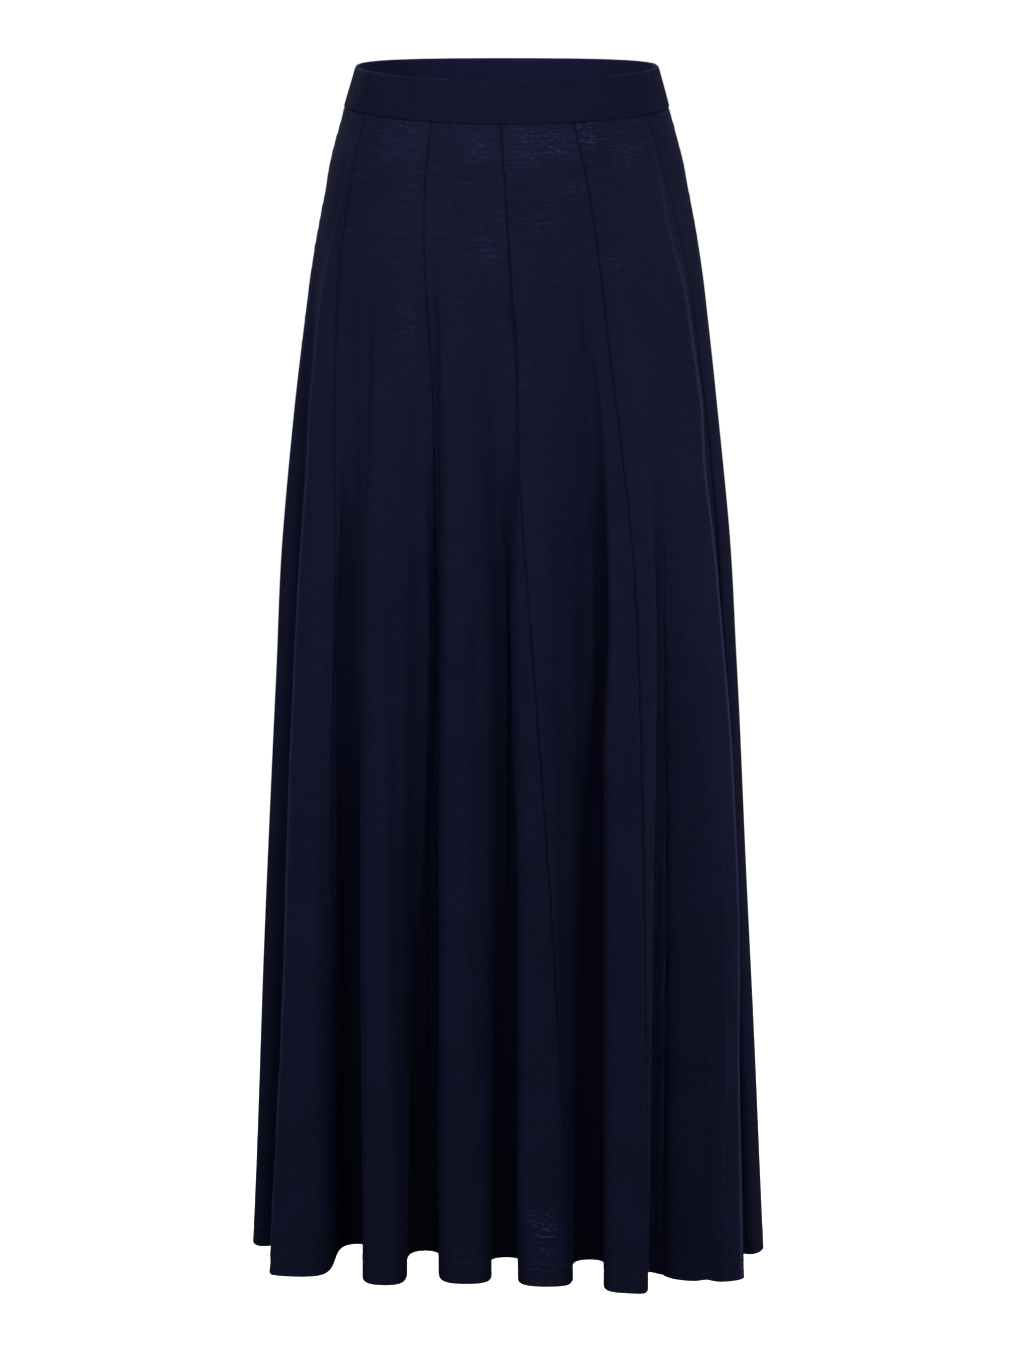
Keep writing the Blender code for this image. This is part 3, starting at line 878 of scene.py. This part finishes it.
NAVY = (0.0088, 0.0101, 0.0314)
WAISTBAND_NAVY = (0.0074, 0.0085, 0.0286)
PALE_THREAD = (0.0125, 0.0142, 0.040)
PALE_GREY = (0.9, 0.9, 0.9, 1.0)
WHITE = (1.0, 1.0, 1.0, 1.0)
SHEEN = {"Sheen Weight": 0.035, "Sheen Roughness": 0.3, "Sheen Tint": (0.30, 0.34, 0.85, 1.0)}
# Painted light: the wrong side is painted this much paler
WRONG_SIDE_PAINTED_LIGHT_TONE = 1.95  # the inside shows as pale as the outside, though it lies in shade
# Painted shade along the seams, darkening the cloth where their grooves lie in shade
SEAM_PAINTED_SHADE_TONE = 0.58
SEAM_SHADE = (0.0008, 0.0024)  # darkest up to the first distance from a seam, gone at the second
SEAM_WAVER = 0.0016
# Painted sheen: how much paler the streaks make the cloth
STREAK_PAINTED_SHEEN_TONE = 1.6
FAINT_STREAK_DROPS = (0.36, 0.08)
FAINT_STREAKS_AND_PAINTED_SHEEN = (0.04, 0.27)  # their strength at the first of these drops, and at the second
CLOUDY_SWING = 0.08
GRAIN_SWING = 0.08
MOTTLE_SWING = 0.12
TWIST_SWING = 0.2
TWIST_SCALE = 2500.0

# The knit's patterns: how many to a metre across and down the cloth, detail and roughness
KNIT_NOISES = {
    "grain": (900.0, 700.0, 3.0, 0.6),
    "mottle": (210.0, 250.0, 3.0, 0.7),
    "cloudy": (22.0, 13.0, 3.0, 0.6),
    "slub": (28.0, 640.0, 2.0, 0.5),
    "broken": (190.0, 420.0, 2.0, 0.5),
    "faint_slub": (40.0, 460.0, 3.0, 0.6),
    "waver": (0.0, 260.0, 3.0, 0.6),
}


class Nodes:
    """Adds nodes to a material's tree and links them."""

    def __init__(self, material):
        self.tree = material.node_tree

    def add(self, kind, inputs=(), **settings):
        """A new node with its settings, and its inputs linked to sockets or set to values."""
        node = self.tree.nodes.new(kind)
        for name, value in settings.items():
            setattr(node, name, value)
        for socket, value in dict(inputs).items():
            if isinstance(value, bpy.types.NodeSocket):
                self.tree.links.new(value, node.inputs[socket])
            else:
                node.inputs[socket].default_value = value
        return node

    def maths(self, operation, *values):
        """The result of an operation on the values."""
        return self.add("ShaderNodeMath", dict(enumerate(values)), operation=operation).outputs[0]

    def product(self, *values):
        """All the values multiplied together."""
        result = values[0]
        for value in values[1:]:
            result = self.maths("MULTIPLY", result, value)
        return result

    def noise(self, vector, scale, detail=2.0, roughness=0.5):
        """A noise between 0 and 1, with its own scale along each axis."""
        mapped = self.add("ShaderNodeMapping", {"Vector": vector, "Scale": scale}).outputs[0]
        inputs = {"Vector": mapped, "Scale": 1.0, "Detail": detail, "Roughness": roughness}
        return self.add("ShaderNodeTexNoise", inputs).outputs["Fac"]

    def ramp(self, value, low, high, to_low=0.0, to_high=1.0):
        """A smooth step from one result to another as the value goes from low to high."""
        inputs = {"Value": value, "From Min": low, "From Max": high, "To Min": to_low, "To Max": to_high}
        return self.add("ShaderNodeMapRange", inputs, interpolation_type="SMOOTHSTEP").outputs[0]

    def swing(self, noise, by):
        """A tone near 1 that follows a noise up and down."""
        return self.ramp(noise, 0.3, 0.7, 1 - by, 1 + by)

    def tinted(self, color, tone):
        """A colour made paler or darker by a tone."""
        inputs = {0: color, "Scale": tone}
        return self.add("ShaderNodeVectorMath", inputs, operation="SCALE").outputs[0]


def new_material(name, roughness, specular):
    """A new material, and its shader."""
    material = bpy.data.materials.new(name)
    material.use_nodes = True
    shader = material.node_tree.nodes["Principled BSDF"]
    shader.inputs["Roughness"].default_value = roughness
    shader.inputs["Specular IOR Level"].default_value = specular
    return material, shader


def knit_material(name, color, streak_and_painted_sheen_strength):
    """Fine navy jersey: a soft mottle, thin level streaks near the waist with a painted sheen, painted
    shade along the seams, the wrong side painted paler against its shade, and painted rim lights on some
    fold edges.
    """
    material, shader = new_material(name, roughness=0.8, specular=0.03)
    for socket, value in SHEEN.items():
        shader.inputs[socket].default_value = value
    nodes = Nodes(material)

    at = nodes.add("ShaderNodeAttribute", attribute_name="cloth").outputs["Vector"]
    cloth = nodes.add("ShaderNodeSeparateXYZ", {"Vector": at}).outputs
    drop, from_seam = cloth["Y"], cloth["Z"]
    # The finish and painted light: the thick yarns with their painted sheen, the wrong side's painted
    # light and the painted rim lights
    stored = nodes.add("ShaderNodeAttribute", attribute_name="finish_and_painted_light").outputs["Vector"]
    finish_and_painted_light = nodes.add("ShaderNodeSeparateXYZ", {"Vector": stored}).outputs
    slubs_and_painted_sheen, side, from_edge = finish_and_painted_light["X"], finish_and_painted_light["Y"], finish_and_painted_light["Z"]
    pattern = {}
    for noise, (across, down, detail, roughness) in KNIT_NOISES.items():
        pattern[noise] = nodes.noise(at, (across, down, 0.0), detail, roughness)

    dashes = nodes.product(
        nodes.ramp(pattern["slub"], 0.42, 0.62), nodes.ramp(pattern["broken"], 0.42, 0.60)
    )
    # Painted sheen on faint streaks, stronger towards the waistband
    low, high = (streak_and_painted_sheen_strength * strength for strength in FAINT_STREAKS_AND_PAINTED_SHEEN)
    near_waist = nodes.ramp(drop, *FAINT_STREAK_DROPS, low, high)
    faint = nodes.product(nodes.ramp(pattern["faint_slub"], 0.48, 0.72), near_waist)
    strength = nodes.product(slubs_and_painted_sheen, streak_and_painted_sheen_strength)
    streak_and_painted_sheen = nodes.maths("MULTIPLY_ADD", dashes, strength, faint)

    from_line = nodes.maths("MULTIPLY_ADD", pattern["waver"], SEAM_WAVER, from_seam)
    # Painted rim light: the base colour is made paler near the edges of some folds, where side light
    # would catch them
    bell = nodes.maths("EXPONENT", nodes.product(from_edge, from_edge, -1.0))
    rim_light_strength = nodes.maths("MAXIMUM", nodes.product(side, -1.0), 0.0)
    tone = nodes.product(
        nodes.swing(pattern["cloudy"], CLOUDY_SWING),
        nodes.swing(pattern["grain"], GRAIN_SWING),
        nodes.swing(pattern["mottle"], MOTTLE_SWING),
        # Painted shade along the seams
        nodes.ramp(from_line, *SEAM_SHADE, SEAM_PAINTED_SHADE_TONE, 1.0),
        # Painted light on the wrong side, against its shade
        nodes.ramp(side, 0.0, 1.0, 1.0, WRONG_SIDE_PAINTED_LIGHT_TONE),
        # Painted sheen: the streaks make the base colour paler
        nodes.maths("MULTIPLY_ADD", streak_and_painted_sheen, STREAK_PAINTED_SHEEN_TONE, 1.0),
        nodes.maths("MULTIPLY_ADD", bell, rim_light_strength, 1.0),
    )
    material.node_tree.links.new(nodes.tinted(color, tone), shader.inputs["Base Color"])

    relief = nodes.maths("ADD", nodes.product(pattern["grain"], 0.6), nodes.product(streak_and_painted_sheen, 1.5))
    bump = nodes.add("ShaderNodeBump", {"Height": relief, "Strength": 0.25, "Distance": 0.0003})
    material.node_tree.links.new(bump.outputs[0], shader.inputs["Normal"])
    return material


def thread_material():
    """Sewing thread, a little paler than the cloth, with its twist."""
    material, shader = new_material("hem_thread", roughness=0.6, specular=0.25)
    nodes = Nodes(material)
    place = nodes.add("ShaderNodeTexCoord").outputs["Object"]
    twist = nodes.noise(place, (TWIST_SCALE, TWIST_SCALE, TWIST_SCALE))
    base = nodes.tinted(PALE_THREAD, nodes.swing(twist, TWIST_SWING))
    material.node_tree.links.new(base, shader.inputs["Base Color"])
    return material


# ---------------------------------------------------------------- stage, lights and camera

CAMERA_DISTANCE = 4.4
CAMERA_RISE = math.radians(6)  # how high it stands, seen from the waist
CAMERA_TILT = math.radians(12.596)  # below level
PHOTO_LONG_SIDE = 1352
FOCAL_PIXELS = 5244.8
SENSOR = 36.0
FLOOR_DROP = 1.45
FLOOR_HALF_WIDTH = 30.0

# Azimuth 0 is the front, and 90 the right
LIGHT_COLUMNS = ("azimuth", "height", "distance", "size", "watts")
LIGHTS = {
    "front_right": (30, 0.90, 1.9, 1.0, 19.5),
    "front_left": (-15, 0.90, 1.9, 1.0, 13.5),
    "side_left": (-60, 0.90, 1.9, 1.0, 12.5),
    "low_left": (-60, -0.20, 2.3, 0.8, 4.5),
    "low_front": (12, -0.95, 2.0, 0.8, 4),
    "edge_right": (97, -0.60, 2.0, 0.5, 14),
    "edge_left": (-102, -0.60, 2.0, 0.5, 2.5),
    "back_left": (210, 0.90, 1.9, 1.0, 21),
    "back_right": (155, 0.90, 1.9, 1.0, 14),
    "low_back": (185, -0.60, 2.3, 0.8, 6),
}
WORLD_STRENGTH = 0.021


def add_stage():
    """A plain pale floor well below the hem, and an even pale surround."""
    half = FLOOR_HALF_WIDTH
    low_corners = [(-half, -half, 0), (half, -half, 0), (half, half, 0), (-half, half, 0)]
    high_corners = [(x, y, half) for x, y, _ in low_corners]
    walls = [(a, (a + 1) % 4, 4 + (a + 1) % 4, 4 + a) for a in range(4)]
    material, shader = new_material("pale_floor", roughness=0.9, specular=0.0)
    shader.inputs["Base Color"].default_value = PALE_GREY
    shader.inputs["Emission Color"].default_value = WHITE
    shader.inputs["Emission Strength"].default_value = 1.0
    for name, faces in (("floor", [(0, 1, 2, 3)]), ("backdrop", walls)):
        mesh = bpy.data.meshes.new(name)
        mesh.from_pydata(low_corners + high_corners, [], faces)
        mesh.materials.append(material)
        surface = add_object(name, mesh)
        surface.location = (0, 0, -FLOOR_DROP)
        surface.visible_diffuse = False  # the surround is white, but the lamps alone light the cloth
        surface.visible_glossy = False
        surface.visible_shadow = name == "floor"

    world = bpy.data.worlds.new("surround")
    world.use_nodes = True
    background = world.node_tree.nodes["Background"]
    background.inputs["Color"].default_value = WHITE
    background.inputs["Strength"].default_value = WORLD_STRENGTH
    bpy.context.scene.world = world


def add_lights():
    """Soft boxes round the skirt, all turned to its middle."""
    middle = Vector((0, 0, -HEM_DROP / 2))
    for name, row in LIGHTS.items():
        light = dict(zip(LIGHT_COLUMNS, row))
        azimuth = math.radians(light["azimuth"])
        aside = light["distance"] * math.sin(azimuth)
        ahead = light["distance"] * math.cos(azimuth)
        place = Vector((aside, -ahead, light["height"]))
        lamp = bpy.data.lights.new(name, "AREA")
        lamp.shape = "SQUARE"
        lamp.size = light["size"]
        lamp.energy = light["watts"]
        holder = add_object(name, lamp)
        holder.location = place
        holder.rotation_euler = (middle - place).to_track_quat("-Z", "Y").to_euler()
        holder.visible_camera = False


def add_camera():
    """The camera in front of the skirt, at the photo's angle and with its field of view."""
    camera = bpy.data.cameras.new("camera")
    camera.sensor_width = SENSOR
    camera.lens = SENSOR * FOCAL_PIXELS / PHOTO_LONG_SIDE
    camera.clip_end = 100.0
    holder = add_object("camera", camera)
    holder.location = (0, -CAMERA_DISTANCE, CAMERA_DISTANCE * math.tan(CAMERA_RISE))
    holder.rotation_euler = (math.pi / 2 - CAMERA_TILT, 0, 0)
    bpy.context.scene.camera = holder


# ---------------------------------------------------------------- putting it together


def build():
    """The whole skirt with its sewing, on its stage."""
    bpy.context.scene.view_settings.view_transform = "Standard"
    knit = knit_material("navy_knit_gores", NAVY, 1.0)
    band_knit = knit_material("navy_knit_waistband", WAISTBAND_NAVY, 0.0)
    inner_knit = knit_material("navy_knit_allowances", NAVY, 0.0)
    thread = thread_material()

    half = len(GORES) // 2
    for side, first, last in (("front", 0, half - 1), ("back", half, len(GORES) - 1)):
        band = waistband_piece("cloth_waistband_" + side, seams(first)[0], seams(last)[1], band_knit)
        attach(band, "root")
        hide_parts("waistband_" + side)

    for number, (name, hem_width, area, _) in enumerate(GORES):
        side = name.split("_")[0]
        gore = gore_piece(number, knit)
        stitching = hem_stitching(number, thread)
        allowance = seam_allowance(number, inner_knit)
        for piece in (gore, stitching, allowance):
            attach(piece, "root")
        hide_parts("gore_" + name)

    add_stage()
    add_lights()
    add_camera()


build()
